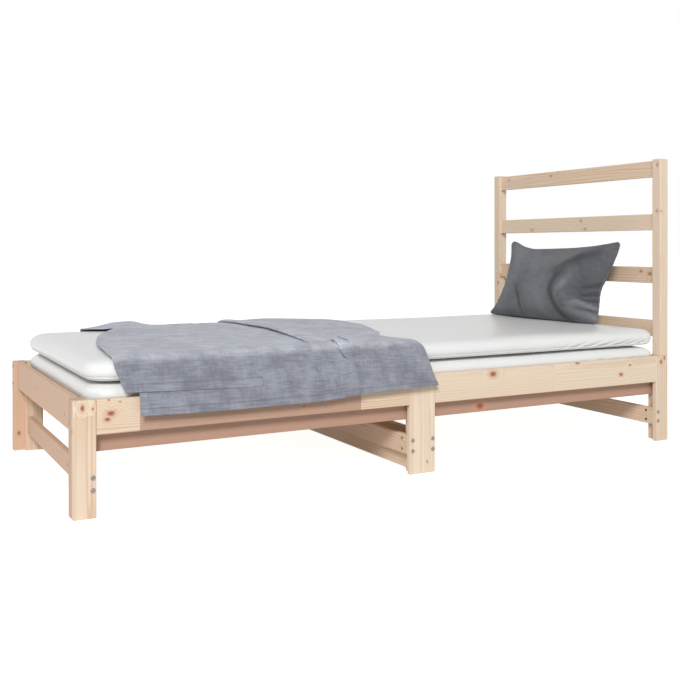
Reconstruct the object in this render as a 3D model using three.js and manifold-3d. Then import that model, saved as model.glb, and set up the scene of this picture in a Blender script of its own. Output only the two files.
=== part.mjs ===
// Pull-out daybed in pine. A fixed frame carries the headboard, and a second frame of plain
// boards stands in front of it and slides out to double the bed. The slats of the two frames
// lie side by side like the fingers of two hands. Millimetres, +Z up, +X from foot to head,
// -Y the side that pulls out.
import * as THREE from 'three';
import { mergeVertices } from 'three/addons/utils/BufferGeometryUtils.js';
import Module from 'manifold-3d';

const wasm = await Module();
wasm.setup();

// Mattresses, which the frame is made round
const mattressLength = 2000;
const mattressWidth = 900;
const mattressThick = 64;
const mattressCornerRadius = 75;
const mattressCrown = 3;
const mattressEndGap = 2;
const mattressSideGap = 4;

// Heights of the two frames and of the headboard
const frameHeight = 300;
const headboardHeight = 1000;

// Timber stock
const boardThick = 18;
const postSide = 38;
const legWidth = 58;
const middleLegWidth = 90;
const railHeight = 90;
const stretcherHeight = 58;
const easedEdge = 1.5;

// Heights of what carries the sleeper
const stretcherBottom = 58;
const lowRailBottom = 10;
const slatRecess = 47;
const innerRailHeight = 90;
const ledgerHeight = 38;

// Slats
const slatCount = 15;
const slatWidth = 90;
const slatEndMargin = 8;

// Headboard rails
const headboardRailCount = 4;
const headboardRailHeight = 58;
const headboardRailLift = 65.9;
const headboardTopMargin = 4;

// Clearances
const seat = 0.3;
const slideGap = 1;
const rearLegOverhang = 6;

// Glued tenons at the rail ends
const tenonThick = 10;
const tenonShoulder = 9;
const tenonLength = 14;

// Connecting bolts and their barrel nuts
const boltSides = 8;
const boltRadius = 3;
const boltHeadRadius = 6.3;
const boltHeadThick = 2.6;
const boltHoleRadius = 3.6;
const boltPastNut = 8;
const headRecess = 4;
const nutRadius = 5;
const nutLength = 13;
const nutHoleRadius = 5.4;
const nutHoleDepth = 15.5;
const nutSetback = 30;
const stretcherBoltSpacing = 32;
const railBoltSpacing = 58;
const crossBoltSpacing = 28;

// Bedding
const blanketThick = 5;
const blanketLift = 0.8;
const hemAboveRailFoot = 39;
const pillowWidth = 650;
const pillowHeight = 352;
const pillowThick = 150;
const pillowLean = 0.27;
const pillowSkew = 56;

// Materials
const pine = new THREE.MeshStandardMaterial({ color: 0xe3c8a4, roughness: 0.62, metalness: 0 });
const slatPine = new THREE.MeshStandardMaterial({ color: 0xdcc09a, roughness: 0.7, metalness: 0 });
const zinc = new THREE.MeshStandardMaterial({ color: 0x9c9a96, roughness: 0.38, metalness: 0.9 });
const whiteCover = new THREE.MeshStandardMaterial({ color: 0xe9e9e8, roughness: 0.45, metalness: 0 });
const blueGreyCloth = new THREE.MeshStandardMaterial({ color: 0x9da1ad, roughness: 0.9, metalness: 0 });
const charcoalCloth = new THREE.MeshStandardMaterial({ color: 0x5b5d62, roughness: 0.85, metalness: 0 });

// Places worked out from the sizes
const postInset = (postSide - boardThick) / 2;
const bedLength = mattressLength + 2 * (mattressEndGap + postSide);
const bedDepth = boardThick + mattressWidth + 2 * mattressSideGap + postSide - postInset;
const frontPostY = boardThick + slideGap;
const frontPostBack = frontPostY + postSide;
const backPostY = bedDepth - postSide;
const backRailY = backPostY + postInset;
const innerRailY = frontPostY + postInset;
const railBottom = frameHeight - railHeight;
const slatUnderside = frameHeight - slatRecess;
const headX = bedLength - postSide;
const middleX = bedLength / 2;
const middleLegX = middleX - middleLegWidth / 2;
const middlePostX = middleLegX + boardThick + slideGap;
const middlePostWidth = middleLegWidth - 2 * (boardThick + slideGap);
const middlePostEnd = middlePostX + middlePostWidth;
const innerRailTop = slatUnderside - seat;
const ledgerBottom = innerRailTop - ledgerHeight;
const rearLegY = backPostY - slideGap - boardThick;
const rearLegHeight = ledgerBottom - 2 * slideGap;
const mattressX = postSide + mattressEndGap;
const mattressY = boardThick + mattressSideGap;
const lowerMattressZ = slatUnderside + boardThick + seat;
const upperMattressZ = lowerMattressZ + mattressThick + seat;
const mattressTop = upperMattressZ + mattressThick;

// Solids and geometries change into each other by their bare vertices and faces.
function toSolid(geometry) {
  const bare = geometry.clone();
  bare.deleteAttribute('normal');
  bare.deleteAttribute('uv');
  const merged = mergeVertices(bare, 1e-4);
  return new wasm.Manifold(new wasm.Mesh({
    numProp: 3,
    vertProperties: new Float32Array(merged.attributes.position.array),
    triVerts: new Uint32Array(merged.index.array),
  }));
}

function toGeometry(solid) {
  const mesh = solid.getMesh();
  const geometry = new THREE.BufferGeometry();
  geometry.setAttribute('position', new THREE.BufferAttribute(mesh.vertProperties, 3));
  geometry.setIndex(new THREE.BufferAttribute(mesh.triVerts, 1));
  return geometry;
}

function cut(geometry, ...tools) {
  return toGeometry(tools.reduce((solid, tool) => solid.subtract(toSolid(tool)), toSolid(geometry)));
}

function join(geometry, ...more) {
  return toGeometry(more.reduce((solid, other) => solid.add(toSolid(other)), toSolid(geometry)));
}

// Each piece keeps its shape about its own corner, and its mesh is placed by that corner.
const bed = new THREE.Group();

function place(name, geometry, material) {
  geometry.computeBoundingBox();
  const corner = geometry.boundingBox.min.clone();
  const own = geometry.clone().translate(-corner.x, -corner.y, -corner.z);
  own.computeVertexNormals();
  const mesh = new THREE.Mesh(own, material);
  mesh.name = name;
  mesh.position.copy(corner);
  bed.add(mesh);
}

function box(low, high) {
  const size = high.map((value, i) => value - low[i]);
  const middle = high.map((value, i) => (value + low[i]) / 2);
  return new THREE.BoxGeometry(...size).translate(...middle);
}

// A planed board: a rectangle with eased corners, run along the grain with square-cut ends.
const grainBasis = {
  x: [[0, 1, 0], [0, 0, 1], [1, 0, 0]],
  y: [[0, 0, 1], [1, 0, 0], [0, 1, 0]],
  z: [[1, 0, 0], [0, 1, 0], [0, 0, 1]],
};

function board(grain, low, high) {
  const basis = grainBasis[grain].map((axis) => new THREE.Vector3(...axis));
  const size = new THREE.Vector3(...high).sub(new THREE.Vector3(...low));
  const [wide, deep, long] = basis.map((axis) => axis.dot(size));
  const section = new THREE.Shape();
  section.moveTo(easedEdge, 0);
  section.lineTo(wide - easedEdge, 0);
  section.lineTo(wide, easedEdge);
  section.lineTo(wide, deep - easedEdge);
  section.lineTo(wide - easedEdge, deep);
  section.lineTo(easedEdge, deep);
  section.lineTo(0, deep - easedEdge);
  section.lineTo(0, easedEdge);
  section.closePath();
  const geometry = new THREE.ExtrudeGeometry(section, { depth: long, bevelEnabled: false });
  geometry.applyMatrix4(new THREE.Matrix4().makeBasis(...basis));
  return geometry.translate(...low);
}

// A round bar from a start point, in a direction along one of the axes.
function rod(start, direction, length, radius) {
  const along = new THREE.Vector3(...direction);
  const turn = new THREE.Quaternion().setFromUnitVectors(new THREE.Vector3(0, 1, 0), along);
  const middle = new THREE.Vector3(...start).addScaledVector(along, length / 2);
  return new THREE.CylinderGeometry(radius, radius, length, boltSides)
    .applyQuaternion(turn).translate(middle.x, middle.y, middle.z);
}

function along(start, direction, distance) {
  return start.map((value, i) => value + direction[i] * distance);
}

// A connecting bolt goes in at a face, through a grip of timber, and into a barrel nut that
// lies across a hole in the next board, so a tightened bolt and its nut are one piece of steel.
// nutFrom is the side that the nut's hole is drilled from.
function boltJoint({ face, direction, grip, nutFrom, recess = 0, headGap }) {
  const headSeat = along(face, direction, recess);
  const neck = along(headSeat, direction, -boltHeadThick / 2);
  const nutCentre = along(face, direction, grip + nutSetback);
  const inward = nutFrom.map((value) => -value);
  const nutMouth = along(nutCentre, nutFrom, boardThick / 2);
  const nutStart = along(nutMouth, inward, nutHoleDepth - seat - nutLength);
  const reach = grip - recess + nutSetback + boltPastNut;
  return {
    bolt: join(
      rod(along(headSeat, direction, -boltHeadThick), direction, boltHeadThick - headGap, boltHeadRadius),
      rod(neck, direction, boltHeadThick / 2 + reach, boltRadius),
      rod(nutStart, inward, nutLength, nutRadius),
    ),
    passage: rod(along(face, direction, -1), direction, 1 + recess + reach + 2, boltHoleRadius),
    counterbore: rod(along(face, direction, -1), direction, 1 + recess, boltHeadRadius + 1),
    nutHole: rod(along(nutMouth, nutFrom, 1), inward, 1 + nutHoleDepth, nutHoleRadius),
  };
}

// Two bolts, one above the other. A bolt of its own keeps its head clear of the face by the
// seat, and a bolt that is one piece with the timber that it clamps has its head sunk in it.
function boltPair(options, middle, spacing) {
  return [-1, 1].map((side) => {
    const face = [options.face[0], options.face[1], middle + (side * spacing) / 2];
    return boltJoint({ ...options, face });
  });
}

const passages = (joints) => joints.map((joint) => joint.passage);
const nutCuts = (joints) => joints.flatMap((joint) => [joint.passage, joint.nutHole]);
const counterbores = (joints) => joints.map((joint) => joint.counterbore);
const boltsOf = (joints) => joints.map((joint) => joint.bolt);

// A stub tenon stands out of a rail's end, centred in the thickness. The mortise is the same
// block, larger by the glue gap all round.
function tenonBlock(rail, side, grow) {
  const length = tenonLength + grow;
  const [low, high] = [[...rail.low], [...rail.high]];
  const [axis, thin] = rail.grain === 'x' ? [0, 1] : [1, 0];
  const centre = (rail.low[thin] + rail.high[thin]) / 2;
  low[thin] = centre - tenonThick / 2 - grow;
  high[thin] = centre + tenonThick / 2 + grow;
  low[2] = rail.low[2] + tenonShoulder - grow;
  high[2] = rail.high[2] - tenonShoulder + grow;
  if (side > 0) {
    low[axis] = rail.high[axis] - 1;
    high[axis] = rail.high[axis] + length;
  } else {
    high[axis] = rail.low[axis] + 1;
    low[axis] = rail.low[axis] - length;
  }
  return box(low, high);
}

const tenonedRail = (rail, ...sides) => (
  join(board(rail.grain, rail.low, rail.high), ...sides.map((side) => tenonBlock(rail, side, 0)))
);
const mortise = (rail, side) => tenonBlock(rail, side, seat);

// Rails of the fixed frame, as blocks between the posts that they seat on.
const footRail = {
  grain: 'y',
  low: [postInset, frontPostBack + seat, railBottom],
  high: [postInset + boardThick, backPostY - seat, frameHeight],
};
const headRail = {
  grain: 'y',
  low: [headX + postInset, frontPostBack + seat, railBottom],
  high: [headX + postInset + boardThick, backPostY - seat, frameHeight],
};
const backRail = {
  grain: 'x',
  low: [postSide + seat, backRailY, railBottom],
  high: [headX - seat, backRailY + boardThick, frameHeight],
};
const innerRail = {
  grain: 'x',
  low: [postSide + seat, innerRailY, innerRailTop - innerRailHeight],
  high: [headX - seat, innerRailY + boardThick, innerRailTop],
};
const lowRail = {
  grain: 'y',
  low: [middlePostX, frontPostBack + seat, lowRailBottom],
  high: [middlePostX + boardThick, backPostY - seat, lowRailBottom + stretcherHeight],
};
const topRailTop = headboardHeight - headboardTopMargin;
const lowestRailTop = frameHeight + headboardRailLift + headboardRailHeight;
const headboardRailPitch = (topRailTop - lowestRailTop) / (headboardRailCount - 1);
const headboardRails = Array.from({ length: headboardRailCount }, (_, i) => {
  const top = topRailTop - i * headboardRailPitch;
  return {
    grain: 'y',
    low: [headX + postInset, postSide + seat, top - headboardRailHeight],
    high: [headX + postInset + boardThick, backPostY - seat, top],
  };
});

// Bolts of the fixed frame. Those along X and along Y cross inside a post at other heights.
const railMiddle = railBottom + railHeight / 2;
const footPostX = postSide / 2;
const headPostX = headX + postSide / 2;
const backPostMiddle = backPostY + postSide / 2;
const backLeftBolts = boltPair(
  { face: [0, backPostMiddle], direction: [1, 0, 0], grip: postSide, nutFrom: [0, -1, 0], headGap: seat },
  railMiddle, railBoltSpacing,
);
const backHeadBolts = boltPair(
  { face: [bedLength, backPostMiddle], direction: [-1, 0, 0], grip: postSide, nutFrom: [0, -1, 0], headGap: -seat },
  railMiddle, railBoltSpacing,
);
const [footBackBolts, headBackBolts] = [[footPostX, 1], [headPostX, -1]].map(([x, side]) => boltPair(
  { face: [x, bedDepth], direction: [0, -1, 0], grip: postSide, nutFrom: [side, 0, 0], headGap: -seat },
  railMiddle, crossBoltSpacing,
));
const [footFrontBolts, headFrontBolts] = [[footPostX, 1], [headPostX, -1]].map(([x, side]) => boltPair(
  {
    face: [x, frontPostY],
    direction: [0, 1, 0],
    grip: postSide,
    nutFrom: [side, 0, 0],
    recess: headRecess,
    headGap: -seat,
  },
  railMiddle, crossBoltSpacing,
));

// Fixed frame: corner posts. The headboard's front post loses its front half where the pull-out
// leg stands, and a packing piece behind brings its foot back to full depth.
place('headboard_front_post', join(cut(
  board('z', [headX, 0, 0], [bedLength, postSide, headboardHeight]),
  box([headX - 1, -1, -1], [bedLength + 1, frontPostY, frameHeight + slideGap]),
  ...headboardRails.map((rail) => mortise(rail, -1)),
  mortise(innerRail, 1),
  ...counterbores(headFrontBolts),
), ...boltsOf(headFrontBolts)), pine);
place('headboard_front_foot', cut(
  board('z', [headX, postSide + seat, 0], [bedLength, frontPostBack, frameHeight]),
  mortise(innerRail, 1),
  ...passages(headFrontBolts),
), pine);
place('headboard_back_post', join(cut(
  board('z', [headX, backPostY, 0], [bedLength, bedDepth, headboardHeight]),
  ...headboardRails.map((rail) => mortise(rail, 1)),
), ...boltsOf(backHeadBolts), ...boltsOf(headBackBolts)), pine);
place('back_left_post', join(cut(
  board('z', [0, backPostY, 0], [postSide, bedDepth, frameHeight]),
  ...passages(backLeftBolts),
), ...boltsOf(footBackBolts)), pine);
place('front_left_post', join(cut(
  board('z', [0, frontPostY, 0], [postSide, frontPostBack, frameHeight]),
  mortise(innerRail, -1),
  ...counterbores(footFrontBolts),
), ...boltsOf(footFrontBolts)), pine);

// Fixed frame: middle posts. A long rail lies in a slot across the top of each, and the strip
// that carries slat ends passes through the cheek of the slot.
const middlePosts = {
  front: { y: frontPostY, rail: innerRail, cheekFrom: frontPostY - 1, cheekTo: innerRailY, lowSide: -1 },
  back: { y: backPostY, rail: backRail, cheekFrom: backPostY - 1, cheekTo: backRailY, lowSide: 1 },
};
for (const [side, post] of Object.entries(middlePosts)) {
  place(`${side}_middle_post`, cut(
    board('z', [middlePostX, post.y, 0], [middlePostEnd, post.y + postSide, innerRailTop]),
    box(
      [middlePostX - 1, post.rail.low[1] - seat, post.rail.low[2] - seat],
      [middlePostEnd + 1, post.rail.high[1] + seat, innerRailTop + 1],
    ),
    box(
      [middlePostX - 1, post.cheekFrom, ledgerBottom - slideGap],
      [middlePostEnd + 1, post.cheekTo, innerRailTop + 1],
    ),
    mortise(lowRail, post.lowSide),
  ), pine);
}

// Fixed frame: rails
headboardRails.forEach((rail, i) => place(`headboard_rail_${i + 1}`, tenonedRail(rail, -1, 1), pine));
place('foot_rail', cut(
  board('y', footRail.low, footRail.high),
  ...nutCuts(footBackBolts),
  ...nutCuts(footFrontBolts),
), pine);
place('head_rail', cut(
  board('y', headRail.low, headRail.high),
  ...nutCuts(headBackBolts),
  ...nutCuts(headFrontBolts),
), pine);
place('back_rail', cut(
  board('x', backRail.low, backRail.high),
  ...nutCuts(backLeftBolts),
  ...nutCuts(backHeadBolts),
), pine);
place('inner_rail', tenonedRail(innerRail, -1, 1), pine);
place('middle_low_rail', tenonedRail(lowRail, -1, 1), pine);

// Fixed frame: the strip on the back rail that carries the back ends of the slats
place('back_ledger', board(
  'x',
  [backRail.low[0], backRailY - seat - boardThick, ledgerBottom],
  [backRail.high[0], backRailY - seat, innerRailTop],
), pine);
backLeftBolts.forEach((joint, i) => place(`frame_bolt_${i + 1}`, joint.bolt, zinc));

// Slats: every second one belongs to the fixed frame, and the others slide between them.
const slatStart = postSide + slatEndMargin;
const slatPitch = (bedLength - 2 * slatStart - slatWidth) / (slatCount - 1);
for (let i = 0; i < slatCount; i += 1) {
  const fixed = i % 2 === 0;
  const x = slatStart + i * slatPitch;
  const number = Math.floor(i / 2) + 1;
  const front = fixed ? innerRailY : boardThick + seat;
  const back = backRailY - (fixed ? seat : slideGap);
  place(
    `${fixed ? 'fixed' : 'pullout'}_slat_${number}`,
    board('y', [x, front, slatUnderside], [x + slatWidth, back, slatUnderside + boardThick]),
    slatPine,
  );
}

// Pull-out frame: stretchers run from the front legs to the rear legs, low enough to pass
// under the fixed inner rail. Two of them hug the fixed middle post.
const stretcherMiddle = stretcherBottom + stretcherHeight / 2;
const stretchers = [
  { x: legWidth - boardThick, rearLegX: legWidth - boardThick - rearLegOverhang },
  { x: middleLegX, rearLegX: middleLegX + boardThick - legWidth },
  { x: middleLegX + middleLegWidth - boardThick, rearLegX: middleLegX + middleLegWidth - boardThick },
  { x: bedLength - legWidth, rearLegX: bedLength - legWidth + boardThick + rearLegOverhang - legWidth },
].map(({ x, rearLegX }) => {
  const centre = x + boardThick / 2;
  return {
    x,
    rearLegX,
    front: boltPair(
      {
        face: [centre, 0],
        direction: [0, 1, 0],
        grip: boardThick + seat,
        nutFrom: [-1, 0, 0],
        headGap: seat,
      },
      stretcherMiddle, stretcherBoltSpacing,
    ),
    rear: boltPair(
      {
        face: [centre, rearLegY + boardThick],
        direction: [0, -1, 0],
        grip: boardThick + seat,
        nutFrom: [-1, 0, 0],
        headGap: -seat,
      },
      stretcherMiddle, stretcherBoltSpacing,
    ),
  };
});
stretchers.forEach((stretcher, i) => {
  place(`pullout_stretcher_${i + 1}`, cut(
    board(
      'y',
      [stretcher.x, boardThick + seat, stretcherBottom],
      [stretcher.x + boardThick, rearLegY - seat, stretcherBottom + stretcherHeight],
    ),
    ...nutCuts(stretcher.front),
    ...nutCuts(stretcher.rear),
  ), pine);
  place(`pullout_rear_leg_${i + 1}`, join(
    board(
      'z',
      [stretcher.rearLegX, rearLegY, 0],
      [stretcher.rearLegX + legWidth, rearLegY + boardThick, rearLegHeight],
    ),
    ...boltsOf(stretcher.rear),
  ), pine);
});
stretchers.flatMap((stretcher) => stretcher.front)
  .forEach((joint, i) => place(`pullout_bolt_${i + 1}`, joint.bolt, zinc));

// Pull-out frame: front legs, the two rails flush between them, and one long strip behind that
// ties legs and rails together and carries the front ends of the pull-out slats.
const middleLegEnd = middleLegX + middleLegWidth;
const frontRails = Object.fromEntries([
  ['left', legWidth, middleLegX],
  ['right', middleLegEnd, bedLength - legWidth],
].map(([side, start, end]) => [side, {
  grain: 'x',
  low: [start + seat, 0, railBottom],
  high: [end - seat, boardThick, frameHeight],
}]));
const frontLegs = {
  left: { x: 0, width: legWidth, held: [stretchers[0]], mortises: [mortise(frontRails.left, -1)] },
  middle: {
    x: middleLegX,
    width: middleLegWidth,
    held: [stretchers[1], stretchers[2]],
    mortises: [mortise(frontRails.left, 1), mortise(frontRails.right, -1)],
  },
  right: {
    x: bedLength - legWidth,
    width: legWidth,
    held: [stretchers[3]],
    mortises: [mortise(frontRails.right, 1)],
  },
};
for (const [side, leg] of Object.entries(frontLegs)) {
  place(`pullout_${side}_leg`, cut(
    board('z', [leg.x, 0, 0], [leg.x + leg.width, boardThick, frameHeight]),
    ...leg.mortises,
    ...leg.held.flatMap((stretcher) => passages(stretcher.front)),
  ), pine);
}
for (const [side, rail] of Object.entries(frontRails)) {
  place(`pullout_${side}_rail`, tenonedRail(rail, -1, 1), pine);
}
place('pullout_ledger', board(
  'x',
  [postSide + slideGap, boardThick + seat, ledgerBottom],
  [headX - slideGap, innerRailY - slideGap, innerRailTop],
), pine);

// Closed skins over a grid. front and back give a point for u and v from 0 to 1, and they
// either meet along the whole border, as in a pillow, or are joined there by a narrow wall.
function closedGrid(columns, rows, front, back, meetAtBorder) {
  const positions = [];
  const index = [];
  for (const face of [front, back]) {
    for (let j = 0; j <= rows; j += 1) {
      for (let i = 0; i <= columns; i += 1) positions.push(...face(i / columns, j / rows));
    }
  }
  const stride = columns + 1;
  const second = stride * (rows + 1);
  for (let j = 0; j < rows; j += 1) {
    for (let i = 0; i < columns; i += 1) {
      const a = j * stride + i;
      index.push(a, a + 1, a + stride + 1, a, a + stride + 1, a + stride);
      const b = second + a;
      index.push(b, b + stride + 1, b + 1, b, b + stride, b + stride + 1);
    }
  }
  if (!meetAtBorder) {
    const border = [];
    for (let i = 0; i < columns; i += 1) border.push(i);
    for (let j = 0; j < rows; j += 1) border.push(j * stride + columns);
    for (let i = columns; i > 0; i -= 1) border.push(rows * stride + i);
    for (let j = rows; j > 0; j -= 1) border.push(j * stride);
    border.forEach((a, k) => {
      const b = border[(k + 1) % border.length];
      index.push(a, second + b, b, a, second + a, second + b);
    });
  }
  const geometry = new THREE.BufferGeometry();
  geometry.setAttribute('position', new THREE.Float32BufferAttribute(positions, 3));
  geometry.setIndex(index);
  return toGeometry(toSolid(geometry));
}

// Mattresses: rings of a rounded rectangle, drawn in at the edges by a rolled profile.
const outlineSteps = 7;
const crownInset = 60;
function roundedOutline(inset) {
  const radius = Math.max(mattressCornerRadius - inset, 2);
  const halfX = mattressLength / 2 - inset - radius;
  const halfY = mattressWidth / 2 - inset - radius;
  const points = [];
  [[1, 1], [-1, 1], [-1, -1], [1, -1]].forEach(([sx, sy], corner) => {
    for (let i = 0; i <= outlineSteps; i += 1) {
      const angle = (corner + i / outlineSteps) * (Math.PI / 2);
      points.push([sx * halfX + radius * Math.cos(angle), sy * halfY + radius * Math.sin(angle)]);
    }
  });
  return points;
}

function mattress(bottom) {
  const profile = [
    [110, 0], [12, 0], [3, 3], [1.5, 7], [2.5, 10], [0, 26],
    [1.5, mattressThick - 22], [7, mattressThick - 10], [20, mattressThick - mattressCrown - 0.8],
    [crownInset, mattressThick - mattressCrown],
  ];
  const centreX = mattressX + mattressLength / 2;
  const centreY = mattressY + mattressWidth / 2;
  const positions = [];
  const index = [];
  for (const [inset, height] of profile) {
    for (const [x, y] of roundedOutline(inset)) positions.push(centreX + x, centreY + y, bottom + height);
  }
  const ring = roundedOutline(0).length;
  for (let j = 0; j < profile.length - 1; j += 1) {
    for (let i = 0; i < ring; i += 1) {
      const a = j * ring + i;
      const b = j * ring + ((i + 1) % ring);
      index.push(a, b, b + ring, a, b + ring, a + ring);
    }
  }
  const last = (profile.length - 1) * ring;
  const bottomCentre = positions.length / 3;
  positions.push(centreX, centreY, bottom);
  positions.push(centreX, centreY, bottom + mattressThick);
  for (let i = 0; i < ring; i += 1) {
    const next = (i + 1) % ring;
    index.push(bottomCentre, next, i, bottomCentre + 1, last + i, last + next);
  }
  const geometry = new THREE.BufferGeometry();
  geometry.setAttribute('position', new THREE.Float32BufferAttribute(positions, 3));
  geometry.setIndex(index);
  return toGeometry(toSolid(geometry));
}
place('lower_mattress', mattress(lowerMattressZ), whiteCover);
place('upper_mattress', mattress(upperMattressZ), whiteCover);

// How far the crowned top has fallen below its middle at a place.
function crownDrop(x, y) {
  const acrossX = Math.abs(x - mattressX - mattressLength / 2) / (mattressLength / 2 - crownInset);
  const acrossY = Math.abs(y - mattressY - mattressWidth / 2) / (mattressWidth / 2 - crownInset);
  return mattressCrown * Math.min(Math.max(acrossX, acrossY), 1);
}

// Blanket: one sheet from its hem in front of the pull-out rail, over the mattress, and down
// behind it. Each station gives how far the sheet lies from the bed's front, its height, and
// where its left and right edges are from the foot end. On the mattress the stations go by
// shares of its width, and shares of its length say where the edges and folds are.
const mattressFront = mattressY;
const mattressBack = mattressY + mattressWidth;
const hangY = -blanketLift;
const across = (share) => mattressY + share * mattressWidth;
const lengthwise = (share) => mattressX + share * mattressLength;
const blanketStations = [
  { y: hangY, z: railBottom + hemAboveRailFoot, left: 0.063, right: 0.5255 },
  { y: hangY, z: frameHeight - 20, left: 0.061, right: 0.522 },
  { y: hangY, z: frameHeight + 6, left: 0.045, right: 0.519 },
  { y: mattressFront - 12, z: mattressTop - 58, left: 0.041, right: 0.515 },
  { y: mattressFront - 2, z: mattressTop - 20, left: 0.037, right: 0.5115 },
  { y: mattressFront + 8, z: mattressTop - 4, left: 0.034, right: 0.508 },
  { y: mattressFront + 34, z: mattressTop, left: 0.033, right: 0.502 },
  { y: across(0.12), z: mattressTop, left: 0.038, right: 0.485 },
  { y: across(0.22), z: mattressTop, left: 0.043, right: 0.485 },
  { y: across(0.33), z: mattressTop, left: 0.048, right: 0.511 },
  { y: across(0.5), z: mattressTop, left: 0.059, right: 0.532 },
  { y: across(0.67), z: mattressTop, left: 0.071, right: 0.553 },
  { y: across(0.83), z: mattressTop, left: 0.081, right: 0.564 },
  { y: mattressBack - 34, z: mattressTop, left: 0.09, right: 0.55 },
  { y: mattressBack - 8, z: mattressTop - 3, left: 0.093, right: 0.545 },
  { y: mattressBack + 2, z: mattressTop - 24, left: 0.095, right: 0.543 },
  { y: mattressBack + 3, z: mattressTop - 62, left: 0.096, right: 0.541 },
];
const blanketColumns = 32;

// Folds are ridges along a line in plan, each with a height and a half width.
const blanketFolds = [
  { from: [0.13, 1], to: [0.1525, 0.58], height: 16, width: 75 },
  { from: [0.375, 1], to: [0.38, 0.71], height: 15, width: 60 },
  { from: [0.38, 0.71], to: [0.35, 0.23], height: 14, width: 40 },
  { from: [0.35, 0.23], to: [0.325, 0], height: 12, width: 34 },
  { from: [0.4725, 1], to: [0.45, 0.42], height: 12, width: 90 },
  { from: [0.38, 0.145], to: [0.384, -0.03], height: 11, width: 26 },
].map((fold) => ({
  ...fold,
  from: [lengthwise(fold.from[0]), across(fold.from[1])],
  to: [lengthwise(fold.to[0]), across(fold.to[1])],
}));

function foldHeight(x, y) {
  return blanketFolds.reduce((height, fold) => {
    const [ax, ay] = fold.from;
    const [dx, dy] = [fold.to[0] - ax, fold.to[1] - ay];
    const t = THREE.MathUtils.clamp(((x - ax) * dx + (y - ay) * dy) / (dx * dx + dy * dy), 0, 1);
    const distance = Math.hypot(x - ax - t * dx, y - ay - t * dy);
    return Math.max(height, fold.height * Math.exp(-((distance / fold.width) ** 2)));
  }, 0);
}

// The hanging front waves in and out by the pleats that come down from the folds.
const pleatDepth = 4;
const pleatWave = 46;
const pleatSpread = 190;
const pleatX = lengthwise(0.384);

function pleat(x) {
  const pleats = Math.cos((x - pleatX) / pleatWave) * Math.exp(-(((x - pleatX) / pleatSpread) ** 2));
  return pleatDepth * (1.6 + pleats + 0.6 * Math.sin((x - pleatX) / (2 * pleatWave)));
}

// Folds in the upper hem make its lower edge rise and fall a little along the rail.
function hemDrop(x) {
  const share = (x - mattressX) / mattressLength;
  return 5 * Math.cos(10 * (share - 0.2025)) - 12 * Math.max(5 * (share - 0.325), 0);
}

function blanketPoint(u, v, layer) {
  const station = v * (blanketStations.length - 1);
  const j = Math.min(Math.floor(station), blanketStations.length - 2);
  const f = station - j;
  const [a, b] = [blanketStations[j], blanketStations[j + 1]];
  const mix = (key) => THREE.MathUtils.lerp(a[key], b[key], f);
  const [y, z] = [mix('y'), mix('z')];
  const x = lengthwise(THREE.MathUtils.lerp(mix('left'), mix('right'), u));
  const before = blanketStations[Math.max(j - (f === 0 ? 1 : 0), 0)];
  const after = blanketStations[Math.min(j + 1, blanketStations.length - 1)];
  const run = Math.hypot(after.y - before.y, after.z - before.z);
  const normal = [-(after.z - before.z) / run, (after.y - before.y) / run];
  const flatness = Math.max(normal[1], 0);
  const hanging = y < across(0.05) ? Math.max(-normal[0], 0) : 0;
  const lift = blanketLift + flatness * foldHeight(x, y) + hanging * pleat(x) + layer * blanketThick;
  const drop = (v === 0 ? hemDrop(x) : 0) + flatness * crownDrop(x, y);
  return [x, y + normal[0] * lift, z + normal[1] * lift - drop];
}
place('blanket', closedGrid(
  blanketColumns,
  blanketStations.length - 1,
  (u, v) => blanketPoint(u, v, 1),
  (u, v) => blanketPoint(u, v, 0),
  false,
), blueGreyCloth);

// Pillow: two faces that swell between drawn-in sides and meet at the seam, leaned back
// against the headboard end and slumped towards the front. Its foot is flat on the mattress.
const pillowTopGap = 10;
const pillowTopX = headX - pillowTopGap;
const pillowFootX = pillowTopX - pillowHeight * Math.sin(pillowLean);
const pillowMiddleY = across(0.582);
const pillowSink = 26;
const pillowRest = mattressTop - crownDrop(pillowFootX - pillowThick / 2, pillowMiddleY) + seat;

function pillowPoint(u, v, side) {
  const across = 2 * u - 1;
  const up = 2 * v - 1;
  const drawnSides = 1 - 0.05 * (1 - up ** 2);
  const drawnTop = 1 - 0.1 * (1 - across ** 2);
  const swell = ((1 - across ** 2) * (1 - up ** 2)) ** 0.45;
  const crease = 1 - 0.13 * Math.exp(-(((across - 0.35 + 0.5 * up) / 0.16) ** 2));
  const thick = side * (pillowThick / 2) * swell * crease * (1 - 0.22 * up);
  const height = (up * 0.5 * drawnTop + 0.5) * pillowHeight;
  const [sine, cosine] = [Math.sin(pillowLean), Math.cos(pillowLean)];
  const x = pillowFootX + height * sine - thick * cosine;
  const y = pillowMiddleY + across * (pillowWidth / 2) * drawnSides - pillowSkew * (v - 0.5);
  const z = pillowRest - pillowSink + height * cosine + thick * sine;
  return [Math.min(x, headX - 2 * slideGap), y, Math.max(z, pillowRest)];
}
place('pillow', closedGrid(
  20,
  14,
  (u, v) => pillowPoint(1 - u, v, 1),
  (u, v) => pillowPoint(1 - u, v, -1),
  true,
), charcoalCloth);

// The origin is on the floor, below the middle of everything that the bed takes up.
bed.updateMatrixWorld(true);
const extent = new THREE.Box3().setFromObject(bed);
const daybed = new THREE.Group();
bed.position.set(-(extent.min.x + extent.max.x) / 2, -(extent.min.y + extent.max.y) / 2, -extent.min.z);
daybed.add(bed);
daybed.updateMatrixWorld(true);

export default daybed;
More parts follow.
